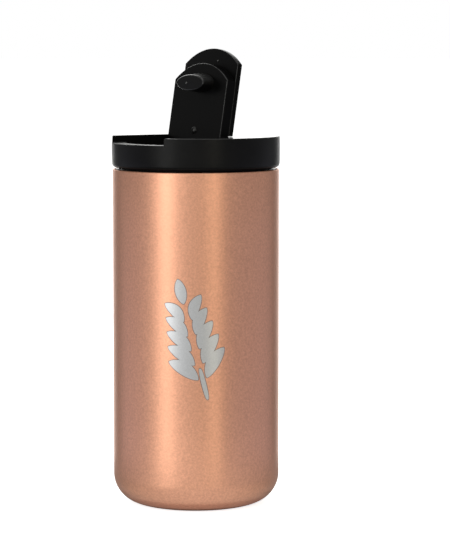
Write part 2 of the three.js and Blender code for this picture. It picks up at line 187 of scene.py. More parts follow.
def lofted(rings):
    """Vertices and faces through rings of equal length, with both ends capped."""
    count = len(rings[0])
    verts = [v for ring in rings for v in ring]
    faces = []
    for level in range(len(rings) - 1):
        low, high = level * count, (level + 1) * count
        for i in range(count):
            j = (i + 1) % count
            faces.append((low + i, low + j, high + j, high + i))
    faces.append(tuple(range(count))[::-1])
    faces.append(tuple((len(rings) - 1) * count + i for i in range(count)))
    return verts, faces


def tongue(rear, half_width, front, corner, axis_x):
    """Plan with straight sides, a front end round about axis_x, and rounded shoulders.

    The outline runs from the rear right corner to the rear left one.
    """
    front_steps, corner_steps = 40, 6
    inner = front - corner
    shoulder = asin((half_width - corner) / inner)
    cx, cy = axis_x + inner * cos(shoulder), inner * sin(shoulder)
    points = [(rear, -half_width)]
    for i in range(corner_steps + 1):
        a = -pi / 2 + (pi / 2 - shoulder) * i / corner_steps
        points.append((cx + corner * cos(a), -cy + corner * sin(a)))
    for i in range(1, front_steps):
        a = -shoulder + 2 * shoulder * i / front_steps
        points.append((axis_x + front * cos(a), front * sin(a)))
    for i in range(corner_steps + 1):
        a = shoulder + (pi / 2 - shoulder) * i / corner_steps
        points.append((cx + corner * cos(a), cy + corner * sin(a)))
    points.append((rear, half_width))
    return points


def oval(centre_x, half_length, half_width):
    """Plan of an oval, wider along Y than along X."""
    count = 96
    angles = [tau * i / count for i in range(count)]
    return [(centre_x + half_length * cos(a), half_width * sin(a)) for a in angles]


def at_height(points, z):
    """A plan's points at a height."""
    return [(x, y, z) for x, y in points]


def oval_prism(sizes, low, high):
    """Vertices and faces of an upright prism whose plan is the oval of those sizes."""
    return lofted([at_height(oval(*sizes), low), at_height(oval(*sizes), high)])


def quarter_turn(steps=4):
    """Sine and cosine at even steps of a quarter turn."""
    return [(sin(pi / 2 * i / steps), cos(pi / 2 * i / steps)) for i in range(steps + 1)]


def rounded_levels(low, high, low_round, high_round, steps=4):
    """Heights and inward offsets of a slab's side, its edges rounded where a radius is given."""
    bottom, top = [(low, 0.0)], [(high, 0.0)]
    if low_round:
        bottom = [(low + low_round * (1 - s), low_round * (1 - c)) for s, c in quarter_turn(steps)]
        bottom.reverse()
    if high_round:
        top = [(high - high_round * (1 - s), high_round * (1 - c)) for s, c in quarter_turn(steps)]
    return bottom + top


def tongue_slab(rear, half_width, front, corner, low, high, low_round=0, high_round=0, axis_x=0.0):
    """A slab of tongue plan whose bottom and top edges can be rounded."""
    least_corner = 0.2 * MM
    rings = []
    for z, inset in rounded_levels(low, high, low_round, high_round):
        bend = max(corner - inset, least_corner)
        plan = tongue(rear + inset, half_width - inset, front - inset, bend, axis_x)
        rings.append(at_height(plan, z))
    return lofted(rings)


def apply_modifiers(obj):
    """Replaces the object's mesh by its evaluated one."""
    graph = bpy.context.evaluated_depsgraph_get()
    mesh = bpy.data.meshes.new_from_object(obj.evaluated_get(graph), depsgraph=graph)
    obj.modifiers.clear()
    old = obj.data
    obj.data = mesh
    bpy.data.meshes.remove(old)
    mesh.name = obj.name


def boolean(target, cutter, operation):
    """Applies an exact boolean of cutter to target and removes the cutter."""
    modifier = target.modifiers.new("cut", "BOOLEAN")
    modifier.operation = operation
    modifier.object = cutter
    modifier.solver = "EXACT"
    apply_modifiers(target)
    bpy.data.objects.remove(cutter)


def finish_edges(obj):
    """Cleans a mesh made by booleans and lets its large faces set the shading."""
    bm = bmesh.new()
    bm.from_mesh(obj.data)
    bmesh.ops.remove_doubles(bm, verts=bm.verts, dist=2e-6)
    bmesh.ops.dissolve_degenerate(bm, edges=bm.edges, dist=1e-6)
    bmesh.ops.recalc_face_normals(bm, faces=bm.faces)
    bm.to_mesh(obj.data)
    bm.free()
    obj.data.shade_smooth()
    obj.data.set_sharp_from_angle(angle=radians(SHARP_ANGLE))
    weighted = obj.modifiers.new("weighted", "WEIGHTED_NORMAL")
    weighted.keep_sharp = True
    weighted.weight = 90
    apply_modifiers(obj)


def screw_ridge(root, crest, low):
    """Vertices and faces of a screw ridge with tapered ends."""
    steps = round(THREAD_TURNS * 96)
    base, tip = 1.1 * MM, 0.55 * MM  # half widths of the ridge at its root and at its crest
    rings = []
    for i in range(steps + 1):
        t = i / steps
        fade = min(1.0, min(t, 1 - t) * 14)  # full height after a fourteenth of the length
        top = root + (crest - root) * fade
        a = t * THREAD_TURNS * tau
        z = low + t * THREAD_TURNS * THREAD_PITCH
        section = [(root, -base), (top, -tip), (top, tip), (root, base)]
        rings.append([(r * cos(a), r * sin(a), z + dz) for r, dz in section])
    return lofted(rings)


def place(obj, body, material, slot, *nodes):
    """Gives a piece its material, its CAD body and the nodes it stands for."""
    obj.data.materials.clear()
    obj.data.materials.append(material)
    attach(obj, body)
    if nodes:
        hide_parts(*nodes)


def paint_faces(obj, material, frame_of_piece, chosen):
    """Gives another material to the faces that chosen(centre, normal) picks in the piece's frame."""
    obj.data.materials.append(material)
    index = len(obj.data.materials) - 1
    back = frame_of_piece.inverted()
    for face in obj.data.polygons:
        if chosen(back @ face.center, back.to_3x3() @ face.normal):
            face.material_index = index


def paint_edge_highlights(obj, frame_of_piece, low=-1.0, rear=-1.0):
    """Gives a black piece's rounded edges, above low and in front of rear, a glossier and paler plastic:
    the gloss is the moulding's own, the paler colour a painted highlight.
    """
    def rounded(centre, normal):
        return 0.3 < abs(normal.z) < 0.95 and centre.z > low and centre.x > rear

    paint_faces(obj, EDGE_HIGHLIGHT_PLASTIC, frame_of_piece, rounded)


# ------------------------------------------------------------------ materials

class Nodes:
    """A small builder for one material's node tree."""

    def __init__(self, name):
        self.material = bpy.data.materials.new(name)
        self.material.use_nodes = True
        self.tree = self.material.node_tree
        self.shader = self.tree.nodes["Principled BSDF"]
        self.coords = self.tree.nodes.new("ShaderNodeTexCoord").outputs["Object"]

    def link(self, source, target):
        self.tree.links.new(source, target)

    def stretched(self, scale):
        node = self.tree.nodes.new("ShaderNodeMapping")
        node.inputs["Scale"].default_value = scale
        self.link(self.coords, node.inputs["Vector"])
        return node.outputs["Vector"]

    def noise(self, scale, detail=3.0, rough=0.55, vector=None):
        node = self.tree.nodes.new("ShaderNodeTexNoise")
        node.inputs["Scale"].default_value = scale
        node.inputs["Detail"].default_value = detail
        node.inputs["Roughness"].default_value = rough
        self.link(vector or self.coords, node.inputs["Vector"])
        return node.outputs["Fac"]

    def ramp(self, factor, stops):
        node = self.tree.nodes.new("ShaderNodeValToRGB")
        ramp = node.color_ramp
        while len(ramp.elements) < len(stops):
            ramp.elements.new(0.5)
        for element, (position, color) in zip(ramp.elements, stops):
            element.position = position
            element.color = (*color, 1)
        self.link(factor, node.inputs["Fac"])
        return node.outputs["Color"]

    def spread(self, factor, low, high):
        node = self.tree.nodes.new("ShaderNodeMapRange")
        node.inputs["From Min"].default_value = 0.3
        node.inputs["From Max"].default_value = 0.7
        node.inputs["To Min"].default_value = low
        node.inputs["To Max"].default_value = high
        self.link(factor, node.inputs["Value"])
        return node.outputs["Result"]

    def bump(self, height, strength, distance, below=None):
        node = self.tree.nodes.new("ShaderNodeBump")
        node.inputs["Strength"].default_value = strength
        node.inputs["Distance"].default_value = distance
        self.link(height, node.inputs["Height"])
        if below is not None:
            self.link(below, node.inputs["Normal"])
        return node.outputs["Normal"]

    def set(self, **values):
        for name, value in values.items():
            socket = self.shader.inputs[name.replace("_", " ")]
            if isinstance(value, bpy.types.NodeSocket):
                self.link(value, socket)
            else:
                socket.default_value = value


def copper_coat():
    n = Nodes("copper_coat")
    grain = n.noise(1050, 4, 0.65)
    cloud = n.noise(90, 2)
    color = n.ramp(grain, [(0.32, (0.52, 0.257, 0.162)), (0.68, (0.69, 0.35, 0.225))])
    bump = n.bump(grain, 0.28, 0.06 * MM)
    bump = n.bump(cloud, 0.05, 0.3 * MM, bump)
    n.set(Base_Color=color, Metallic=0.92, Roughness=n.spread(grain, 0.36, 0.46), Normal=bump)
    return n.material


def brushed_steel(name, around=True):
    """Steel brushed round its axis, or along it."""
    base, roughness = 0.62, 0.26
    n = Nodes(name)
    vector = n.stretched((60, 60, 2600) if around else (2200, 60, 60))
    lines = n.noise(1.0, 3, 0.6, vector)
    smudge = n.noise(60, 2)
    color = n.ramp(lines, [(0.3, (base * 0.9,) * 3), (0.7, (base * 1.05, base * 1.05, base * 1.04))])
    n.set(
        Base_Color=color,
        Metallic=1.0,
        Roughness=n.spread(smudge, roughness - 0.04, roughness + 0.06),
        Normal=n.bump(lines, 0.12, 0.02 * MM),
    )
    return n.material


def emblem_steel():
    n = Nodes("emblem_steel")
    grain = n.noise(1800, 3, 0.6)
    color = n.ramp(grain, [(0.3, (0.39, 0.395, 0.405)), (0.7, (0.46, 0.465, 0.475))])
    n.set(
        Base_Color=color,
        Metallic=1.0,
        Roughness=n.spread(grain, 0.36, 0.43),
        Normal=n.bump(grain, 0.1, 0.02 * MM),
    )
    return n.material


# a dark plate whose rim round the ear is painted shade along the ear's edges
def emblem_edge_shade():
    n = Nodes("emblem_edge_shade")
    grain = n.noise(1500, 3)
    color = n.ramp(grain, [(0.3, (0.13, 0.11, 0.1)), (0.7, (0.2, 0.17, 0.16))])
    n.set(Base_Color=color, Metallic=0.6, Roughness=0.55, Normal=n.bump(grain, 0.1, 0.02 * MM))
    return n.material


def black_plastic(name, level=0.0024, roughness=0.36, specular=0.1):
    """Fine-textured black moulding. The deck is glossier, the flap duller, and the rounded edges glossier
    and paler, their paler colour a painted highlight.
    """
    n = Nodes(name)
    grain = n.noise(2600, 3, 0.6)
    cloud = n.noise(110, 3)
    low, high = (level * 0.8,) * 3, (level * 1.25, level * 1.2, level * 1.18)
    n.set(
        Base_Color=n.ramp(cloud, [(0.3, low), (0.7, high)]),
        Roughness=n.spread(cloud, roughness - 0.05, roughness + 0.07),
        Specular_IOR_Level=specular,
        Normal=n.bump(grain, 0.3, 0.03 * MM),
    )
    return n.material


def black_rubber():
    n = Nodes("black_rubber")
    grain = n.noise(900, 4, 0.6)
    color = n.ramp(grain, [(0.3, (0.0014, 0.0014, 0.0014)), (0.7, (0.0024, 0.0023, 0.0022))])
    n.set(
        Base_Color=color,
        Roughness=n.spread(grain, 0.5, 0.62),
        Specular_IOR_Level=0.12,
        Normal=n.bump(grain, 0.12, 0.03 * MM),
    )
    return n.material


def copper_foil():
    n = Nodes("copper_foil")
    crinkle = n.noise(160, 4)
    color = n.ramp(crinkle, [(0.3, (0.62, 0.3, 0.17)), (0.7, (0.8, 0.45, 0.3))])
    bump = n.bump(crinkle, 0.5, 0.2 * MM)
    n.set(Base_Color=color, Metallic=1.0, Roughness=n.spread(crinkle, 0.2, 0.35), Normal=bump)
    return n.material


def grey_alloy():
    n = Nodes("grey_alloy")
    grain = n.noise(1200, 4)
    color = n.ramp(grain, [(0.3, (0.22, 0.22, 0.23)), (0.7, (0.36, 0.36, 0.37))])
    n.set(Base_Color=color, Metallic=0.8, Roughness=0.5, Normal=n.bump(grain, 0.3, 0.05 * MM))
    return n.material


def white_foam():
    n = Nodes("white_foam")
    cells = n.tree.nodes.new("ShaderNodeTexVoronoi")
    cells.inputs["Scale"].default_value = 420
    n.link(n.coords, cells.inputs["Vector"])
    color = n.ramp(cells.outputs["Distance"], [(0.0, (0.86, 0.85, 0.82)), (0.8, (0.7, 0.69, 0.66))])
    n.set(Base_Color=color, Roughness=0.9, Normal=n.bump(cells.outputs["Distance"], 0.4, 0.3 * MM))
    return n.material


def floor_paper():
    n = Nodes("floor_paper")
    cloud = n.noise(3, 3)
    color = n.ramp(cloud, [(0.3, (0.88, 0.88, 0.875)), (0.7, (0.9, 0.9, 0.895))])
    n.set(Base_Color=color, Roughness=0.8, Specular_IOR_Level=0.2)
    n.set(Emission_Color=(1, 1, 1, 1), Emission_Strength=0.8)
    return n.material


COPPER = copper_coat()
STEEL = brushed_steel("brushed_steel")
PLASTIC = black_plastic("black_plastic")
DECK_PLASTIC = black_plastic("black_plastic_deck", level=0.0024, roughness=0.16, specular=0.5)
FLAP_PLASTIC = black_plastic("black_plastic_flap", level=0.0015, roughness=0.32, specular=0.05)
# rounded edges: the gloss is real, the paler colour is a painted highlight
EDGE_HIGHLIGHT_PLASTIC = black_plastic("black_plastic_edge_highlight", level=0.005, roughness=0.3, specular=0.3)
# gate marks: the gloss is real, the much paler colour is a painted highlight
GATE_HIGHLIGHT_PLASTIC = black_plastic("black_plastic_gate_highlight", level=0.03, roughness=0.25, specular=0.5)
RUBBER = black_rubber()


# ------------------------------------------------------------------ vessel

def body_shell():
    """Coated outer wall: flat foot, round bottom corner, straight side and the curl at the mouth."""
    bevel = 0.25 * MM
    corner = BODY_RADIUS - BASE_FILLET
    curl_r, curl_z = BODY_RADIUS - MOUTH_CURL, BODY_TOP - MOUTH_CURL
    ledge = curl_r - 0.6 * MM
    side = [(BODY_RADIUS, BASE_FILLET + (curl_z - BASE_FILLET) * i / 6) for i in range(1, 6)]
    inner = [(BODY_RADIUS - SHEET, z) for _, z in reversed(side)]
    outline = [
        (BASE_HOLE, bevel),
        (BASE_HOLE + bevel, 0),
        *arc(corner, BASE_FILLET, BASE_FILLET, -90, 0, 24),
        *side,
        *arc(curl_r, curl_z, MOUTH_CURL, 0, 90, 8),
        (ledge, BODY_TOP),
        (ledge, BODY_TOP - SHEET),
        *arc(curl_r, curl_z, MOUTH_CURL - SHEET, 90, 0, 2),
        *inner,
        *arc(corner, BASE_FILLET, BASE_FILLET - SHEET, 0, -90, 10),
        (BASE_HOLE, SHEET),
    ]
    obj = new_object("body_shell", *turned(outline, 256))
    place(obj, "vessel", COPPER, "copper_coat", "outer_shell")


def vessel_liner():
    """Steel drinking vessel with its mouth flange and the rolled screw thread."""
    corner, floor_z = LINER_RADIUS - LINER_FILLET, LINER_FLOOR + LINER_FILLET
    outside = LINER_RADIUS + LINER_SHEET
    flange = BODY_RADIUS - MOUTH_CURL - 0.9 * MM
    lip = 0.6 * MM
    top = BODY_TOP - 0.05 * MM
    outline = [
        (0, LINER_FLOOR - LINER_SHEET),
        *arc(corner, floor_z, LINER_FILLET + LINER_SHEET, -90, 0, 10),
        (outside, BODY_TOP - lip - LINER_SHEET),
        (flange, BODY_TOP - lip),
        (flange, top),
        *arc(LINER_RADIUS + lip, top - lip, lip, 90, 180, 5),
        *arc(corner, floor_z, LINER_FILLET, 0, -90, 14),
        (0, LINER_FLOOR),
    ]
    obj = new_object("vessel_liner", *turned(outline))
    ridge = screw_ridge(LINER_RADIUS + LINER_SHEET / 2, VESSEL_THREAD_CREST, VESSEL_THREAD_START)
    boolean(obj, new_object("ridge", *ridge, LID_FRAME), "UNION")
    finish_edges(obj)
    place(obj, "vessel", STEEL, "steel", "inner_liner", "liner_bottom")


def foot_cover():
    """Thin cover inside the foot ring, with its middle pressed in."""
    box_low, box_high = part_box("base_cover")
    low, edge = box_low.z, box_high.x
    step, thickness = 0.2 * MM, 0.3 * MM
    outline = [
        (0, low + step),
        (12.6 * MM, low + step),
        (13.2 * MM, low + step * 0.6),
        (13.9 * MM, low),
        (edge - 0.2 * MM, low),
        (edge, low + 0.15 * MM),
        (edge, low + thickness),
        (13.9 * MM, low + thickness),
        (13 * MM, low + step + thickness),
        (0, low + step + thickness),
    ]
    obj = new_object("foot_cover", *turned(outline, 128))
    place(obj, "vessel", COPPER, "copper_coat", "base_cover")


# ------------------------------------------------------------------ emblem: an ear of barley

EMBLEM_CENTRE = (-1.5 * MM, 77.5 * MM)  # of the ear, across the front and up
EMBLEM_HEIGHT = 54 * MM
EMBLEM_LEAN = radians(14)
STEM_LENGTH = 14 * MM
STEM_WIDTH = 2 * MM
GRAIN_PAIRS = 5
GRAIN_STEP = 6.5 * MM
FIRST_GRAIN = 9.5 * MM  # the lowest pair's height on the ear
GRAIN_GAP = 1.9 * MM  # from the ear's middle to the foot of a grain
TOP_GRAIN_LENGTH = 11 * MM
TOP_GRAIN_WIDTH = 4.8 * MM
LEAF_ENDS = 0.62
BAR_ENDS = 0.28


def on_body(across, up, radius):
    """A point of the flat emblem drawing, laid round the front of the body."""
    a = across / BODY_RADIUS
    return (radius * sin(a), -radius * cos(a), up)


def stroke(start, end, width, bow, ends, grow, radius, depth):
    """A closed thin plate along a bowed line, laid round the body.

    ends is near 1 for pointed ends and about 0.3 for a bar's blunt ones. grow widens it all round.
    """
    along = Vector(end) - Vector(start)
    length = along.length
    along.normalize()
    side = Vector((-along.y, along.x))
    steps, columns = 28, 6
    least_half_width = 0.02 * MM
    top, bottom = [], []
    for i in range(steps + 1):
        t = i / steps
        centre = Vector(start) - along * grow + along * (length + 2 * grow) * t
        centre += side * bow * 4 * t * (1 - t)
        inside = min(max(t, 0.004), 0.996)
        half = max((width / 2 + grow) * sin(pi * inside) ** ends, least_half_width)
        for k in range(columns + 1):
            p = centre + side * half * (2 * k / columns - 1)
            top.append(on_body(p.x, p.y, radius))
            bottom.append(on_body(p.x, p.y, radius - depth))
    row, offset = columns + 1, len(top)
    faces = []
    for i in range(steps):
        for k in range(columns):
            a = i * row + k
            faces.append((a, a + 1, a + row + 1, a + row))
            faces.append((offset + a, offset + a + row, offset + a + row + 1, offset + a + 1))
    for i in range(steps):
        for a, b in ((i * row, (i + 1) * row), (i * row + columns, (i + 1) * row + columns)):
            faces.append((a, b, offset + b, offset + a))
    for k in range(columns):
        for a in (k, steps * row + k):
            faces.append((a, a + 1, offset + a + 1, offset + a))
    return top + bottom, faces


def leaned(x, up):
    """A point of the upright ear, moved to its place on the body and leaned with the ear."""
    c, s = cos(EMBLEM_LEAN), sin(EMBLEM_LEAN)
    return (EMBLEM_CENTRE[0] + c * x - s * up, EMBLEM_CENTRE[1] + s * x + c * up)


def emblem_strokes():
    """Start, end, width, bow and end shape of each stroke of the ear."""
    low = -EMBLEM_HEIGHT / 2
    strokes = [(leaned(0, low), leaned(0, low + STEM_LENGTH), STEM_WIDTH, 0, BAR_ENDS)]
    for i in range(GRAIN_PAIRS):
        up = low + FIRST_GRAIN + i * GRAIN_STEP
        length = (15 - 0.9 * i) * MM
        width = (5.8 - 0.25 * i) * MM
        spread = radians(45 - 3 * i)
        for side in (-1, 1):
            start = (side * GRAIN_GAP, up)
            end = (start[0] + side * length * sin(spread), up + length * cos(spread))
            strokes.append((leaned(*start), leaned(*end), width, side * MM, LEAF_ENDS))
    foot = low + FIRST_GRAIN + GRAIN_PAIRS * GRAIN_STEP + 1 * MM
    tip = foot + TOP_GRAIN_LENGTH
    strokes.append((leaned(0, foot), leaned(0, tip), TOP_GRAIN_WIDTH, 0, LEAF_ENDS))
    return strokes


def emblem():
    """The bright ear, and a slightly wider dark one under it whose rim shows round the ear as painted shade
    along its edges.
    """
    depth = 0.1 * MM
    plates = (  # name, growth of the strokes, height above the coat, material
        ("emblem", 0.0, 0.04 * MM, emblem_steel()),
        # the wider dark plate: painted shade along the ear's edges
        ("emblem_shade_outline", 0.28 * MM, 0.02 * MM, emblem_edge_shade()),
    )
    for name, grow, proud, material in plates:
        verts, faces = [], []
        for start, end, width, bow, ends in emblem_strokes():
            v, f = stroke(start, end, width, bow, ends, grow, BODY_RADIUS + proud, depth)
            faces += [tuple(len(verts) + i for i in face) for face in f]
            verts += v
        obj = new_object(name, verts, faces)
        place(obj, "vessel", material, "steel")


# ------------------------------------------------------------------ lid

def seal_ring():
    """Ring in the gap between the lid's band and the body, with its outer edges rounded."""
    low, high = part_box("lid_gasket")
    inner = 33.4 * MM
    bead = 0.35 * MM
    bead_r = GASKET_RADIUS - bead
    outline = [
        (inner, low.z),
        (bead_r, low.z),
        *arc(bead_r, low.z + bead, bead, -90, 0, 4),
        *arc(bead_r, high.z - bead, bead, 0, 90, 4),
        (inner, high.z),
    ]
    obj = new_object("seal_ring", *turned(outline))
    place(obj, "seal", RUBBER, "black_rubber", "lid_gasket")


def lid_blank():
    """Skirt and deck, turned: barrelled band with a rounded bottom and a fine round top edge."""
    middle = (LID_BOTTOM + LID_TOP) / 2
    edge = 0.45 * MM
    barrel = 0.12 * MM
    top_radius = LID_RADIUS - barrel
    side_low, side_high = LID_BOTTOM + LID_FILLET, LID_TOP - edge
    side = []
    for i in range(1, 10):
        z = side_low + (side_high - side_low) * i / 10
        drop = (z - middle) / (LID_TOP - middle)
        side.append((LID_RADIUS - barrel * drop * drop, z))
    outline = [
        (SKIRT_RADIUS, LID_BOTTOM),
        *arc(top_radius - LID_FILLET, side_low, LID_FILLET, -90, 0, 10),
        *side,
        *arc(top_radius - edge, LID_TOP - edge, edge, 0, 90, 5),
        (0, LID_TOP),
        (0, LID_TOP - LID_WALL),
        (SKIRT_RADIUS, LID_TOP - LID_WALL),
    ]
    return new_object("lid_shell", *turned(outline), LID_FRAME)


def flared_cutter(rear, half_width, front, corner, low, high, floor_round, edge_round, axis_x=0.0):
    """A pocket's cutter: rounded at its floor, and flared at the top so that its rim is rounded."""
    levels = [(low + floor_round * (1 - c), floor_round * (1 - s)) for s, c in quarter_turn()]
    levels += [(high - edge_round * (1 - s), -edge_round * (1 - c)) for s, c in quarter_turn()]
    levels.append((high + 3 * MM, -edge_round))
    rings = []
    for z, inset in levels:
        plan = tongue(rear + inset, half_width - inset, front - inset, corner, axis_x)
        rings.append(at_height(plan, z))
    return lofted(rings)


def lid_shell():
    """Band and deck with the flap's pocket, the notch in the rim, the drinking slot and the vent."""
    obj = lid_blank()
    tub_low = POCKET_FLOOR - POCKET_FLOOR_THICKNESS
    tub_high = LID_TOP - LID_WALL + 0.4 * MM  # inside the deck, so that the two become one
    tub_half_width = POCKET_HALF_WIDTH + POCKET_WALL
    tub = tongue_slab(
        rear=POCKET_REAR - POCKET_WALL,
        half_width=tub_half_width,
        front=POCKET_FRONT + LID_WALL,
        corner=2 * MM,
        low=tub_low,
        high=tub_high,
        axis_x=POCKET_ARC_CENTRE,
    )
    shelf = tongue_slab(
        rear=NOTCH_REAR,
        half_width=tub_half_width,
        front=SKIRT_RADIUS + 0.7 * MM,
        corner=2 * MM,
        low=NOTCH_FLOOR - LID_WALL,
        high=tub_high,
    )
    boolean(obj, new_object("tub", *tub, LID_FRAME), "UNION")
    boolean(obj, new_object("shelf", *shelf, LID_FRAME), "UNION")

    pocket = flared_cutter(
        rear=POCKET_REAR,
        half_width=POCKET_HALF_WIDTH,
        front=POCKET_FRONT,
        corner=0.8 * MM,
        low=POCKET_FLOOR,
        high=LID_TOP,
        floor_round=0.7 * MM,
        edge_round=0.3 * MM,
        axis_x=POCKET_ARC_CENTRE,
    )
    boolean(obj, new_object("pocket", *pocket, LID_FRAME), "DIFFERENCE")
    notch = flared_cutter(
        rear=NOTCH_REAR,
        half_width=POCKET_HALF_WIDTH,
        front=LID_RADIUS + 8 * MM,
        corner=1.2 * MM,
        low=NOTCH_FLOOR,
        high=LID_TOP,
        floor_round=0.3 * MM,
        edge_round=0.3 * MM,
    )
    boolean(obj, new_object("notch", *notch, LID_FRAME), "DIFFERENCE")

    slot = oval_prism(SLOT, tub_low - OVERCUT, POCKET_FLOOR + OVERCUT)
    boolean(obj, new_object("slot", *slot, LID_FRAME), "DIFFERENCE")
    seat_outline = [
        (0, POCKET_FLOOR - VENT_SEAT_DEPTH),
        (VENT_SEAT * 0.8, POCKET_FLOOR - VENT_SEAT_DEPTH),
        (VENT_SEAT, POCKET_FLOOR - VENT_SEAT_DEPTH / 2),
        (VENT_SEAT + 0.2 * MM, POCKET_FLOOR + OVERCUT),
        (0, POCKET_FLOOR + OVERCUT),
    ]
    boolean(obj, new_object("seat", *turned(seat_outline, 48), LID_FRAME), "DIFFERENCE")
    vent_outline = [
        (0, tub_low - OVERCUT),
        (VENT_RADIUS, tub_low - OVERCUT),
        (VENT_RADIUS, POCKET_FLOOR),
        (0, POCKET_FLOOR),
    ]
    boolean(obj, new_object("vent", *turned(vent_outline, 32), LID_FRAME), "DIFFERENCE")
    finish_edges(obj)
    place(obj, "lid", PLASTIC, "black_plastic", "lid_cover")
    paint_edge_highlights(obj, LID_FRAME, low=NOTCH_FLOOR - 0.1 * MM)

    def on_deck(centre, normal):
        return normal.z > 0.97 and centre.z > LID_TOP - 0.05 * MM

    paint_faces(obj, DECK_PLASTIC, LID_FRAME, on_deck)


def lid_screw_plug():
    """Lower half of the lid: threaded plug, flange and the wall round the drinking channel."""
    corner = 0.8 * MM
    flange_high = PLUG_FLANGE_LOW + 1.6 * MM
    inner = PLUG_RADIUS - PLUG_WALL
    floor_top = PLUG_BOTTOM + 1.6 * MM
    tube_top = POCKET_FLOOR - POCKET_FLOOR_THICKNESS - 0.3 * MM
    rim = SKIRT_RADIUS - 0.3 * MM
    outline = [
        (0, PLUG_BOTTOM),
        *arc(PLUG_RADIUS - corner, PLUG_BOTTOM + corner, corner, -90, 0, 5),
        (PLUG_RADIUS, PLUG_FLANGE_LOW),
        (rim, PLUG_FLANGE_LOW),
        (rim, flange_high),
        (inner, flange_high),
        (inner, floor_top),
        (0, floor_top),
    ]
    obj = new_object("lid_screw_plug", *turned(outline), LID_FRAME)
    thread_start = VESSEL_THREAD_START - THREAD_PITCH / 2
    ridge = screw_ridge(PLUG_RADIUS - 0.3 * MM, LID_THREAD_CREST, thread_start)
    boolean(obj, new_object("ridge", *ridge, LID_FRAME), "UNION")
    wall = (SLOT[0], SLOT[1] + CHANNEL_WALL, SLOT[2] + CHANNEL_WALL)
    tube = oval_prism(wall, PLUG_BOTTOM + 0.5 * MM, tube_top)
    boolean(obj, new_object("tube", *tube, LID_FRAME), "UNION")
    channel = oval_prism(SLOT, PLUG_BOTTOM - OVERCUT, tube_top + OVERCUT)
    boolean(obj, new_object("channel", *channel, LID_FRAME), "DIFFERENCE")
    finish_edges(obj)
    place(obj, "lid", PLASTIC, "black_plastic", "lid_plug")


# ------------------------------------------------------------------ flap, drawn closed about its hinge axis

AXIS_X = -HINGE_X  # the lid's axis, seen from the hinge


def gate_marks():
    """The little nubs that the moulds' gates leave on the lip and on the stopper."""
    marks = (  # x from the lid's axis, y, height, radius
        (31.8 * MM, 5.2 * MM, FLAP_TOP - FLAP_PLATE, 0.5 * MM),
        (20.3 * MM, -2.45 * MM, FLAP_UNDERSIDE - STOPPER_LENGTH, 0.6 * MM),
    )
    rise, sunk = 0.35 * MM, 0.1 * MM
    for i, (x, y, z, radius) in enumerate(marks):
        dome = [(r * radius / rise, h) for r, h in arc(0, 0, rise, 10, 90, 5)]
        outline = [(0, -sunk), (radius, -sunk), *dome]
        stand = Matrix.Translation((AXIS_X + x, y, z)) @ Matrix.Rotation(pi, 4, "X")
        obj = new_object(f"gate_mark_{i}", *turned(outline, 20), FLAP_FRAME @ stand)
        # the nubs' paler colour is a painted highlight
        place(obj, "flap", GATE_HIGHLIGHT_PLASTIC, "black_plastic")


def flap_plate():
    """Outer plate of the flap, with the thumb lip that reaches past the block."""
    slab = tongue_slab(
        rear=BARREL + 0.4 * MM,
        half_width=FLAP_HALF_WIDTH,
        front=FLAP_LIP,
        corner=0.6 * MM,
        low=FLAP_TOP - FLAP_PLATE,
        high=FLAP_TOP,
        low_round=0.4 * MM,
        high_round=0.45 * MM,
        axis_x=AXIS_X,
    )
    obj = new_object("flap_plate", *slab, FLAP_FRAME)
    place(obj, "flap", FLAP_PLASTIC, "black_plastic", "flap_cover")
    paint_edge_highlights(obj, FLAP_FRAME)


def flap_block():
    """Deeper inner block of the flap, with the barrel round the hinge axis."""
    slab = tongue_slab(
        rear=-1.4 * MM,
        half_width=FLAP_HALF_WIDTH,
        front=FLAP_BLOCK,
        corner=0.5 * MM,
        low=FLAP_UNDERSIDE,
        high=FLAP_TOP - FLAP_PLATE + 0.02 * MM,
        low_round=0.5 * MM,
        axis_x=AXIS_X + POCKET_ARC_CENTRE,
    )
    obj = new_object("flap_block", *slab, FLAP_FRAME)
    end, bevel = FLAP_HALF_WIDTH, 0.2 * MM
    rod_outline = [
        (0, -end),
        (BARREL - bevel, -end),
        (BARREL, bevel - end),
        (BARREL, end - bevel),
        (BARREL - bevel, end),
        (0, end),
    ]
    across = FLAP_FRAME @ Matrix.Rotation(pi / 2, 4, "X")
    barrel = new_object("barrel", *turned(rod_outline, 48), across)
    boolean(obj, barrel, "UNION")
    finish_edges(obj)
    place(obj, "flap", FLAP_PLASTIC, "black_plastic", "flap_tray")
    paint_edge_highlights(obj, FLAP_FRAME, rear=BARREL + 0.5 * MM)


def drink_stopper():
    """Oval stopper that tapers from the flap's underside to a rounded tip."""
    tip = FLAP_UNDERSIDE - STOPPER_LENGTH
    root = FLAP_UNDERSIDE + 0.4 * MM
    levels = rounded_levels(tip, root, 0.7 * MM, 0, steps=5)
    levels[-1:-1] = [(tip + (root - tip) * t, 0.0) for t in (0.35, 0.6, 0.8)]  # along the taper
    rings = []
    for z, inset in levels:
        t = min(max((FLAP_UNDERSIDE - z) / STOPPER_LENGTH, 0), 1)
        x, length, width = (a + (b - a) * t for a, b in zip(STOPPER_ROOT, STOPPER_TIP))
        rings.append(at_height(oval(x + AXIS_X, length - inset, width - inset), z))
    obj = new_object("drink_stopper", *lofted(rings), FLAP_FRAME, sharp=50)
    place(obj, "flap", RUBBER, "black_rubber", "slot_stopper")
    paint_edge_highlights(obj, FLAP_FRAME)


def vent_pip():
    """Round pip with a domed tip, on the lid's axis when the flap is shut."""
    tip = FLAP_UNDERSIDE - PIP_LENGTH
    root = FLAP_UNDERSIDE + 0.5 * MM
    dome_radius = 1.9 * MM
    dome = arc(0, tip + dome_radius, dome_radius, -90, -20, 6)
    outline = [*dome[:-1], (PIP_RADIUS, tip + 1.5 * MM), (PIP_RADIUS, root), (0, root)]
    obj = new_object("vent_pip", *turned(outline, 40), FLAP_FRAME @ Matrix.Translation((AXIS_X, 0, 0)))
    place(obj, "flap", RUBBER, "black_rubber", "vent_plug")
    paint_edge_highlights(obj, FLAP_FRAME)


# ------------------------------------------------------------------ kept CAD nodes

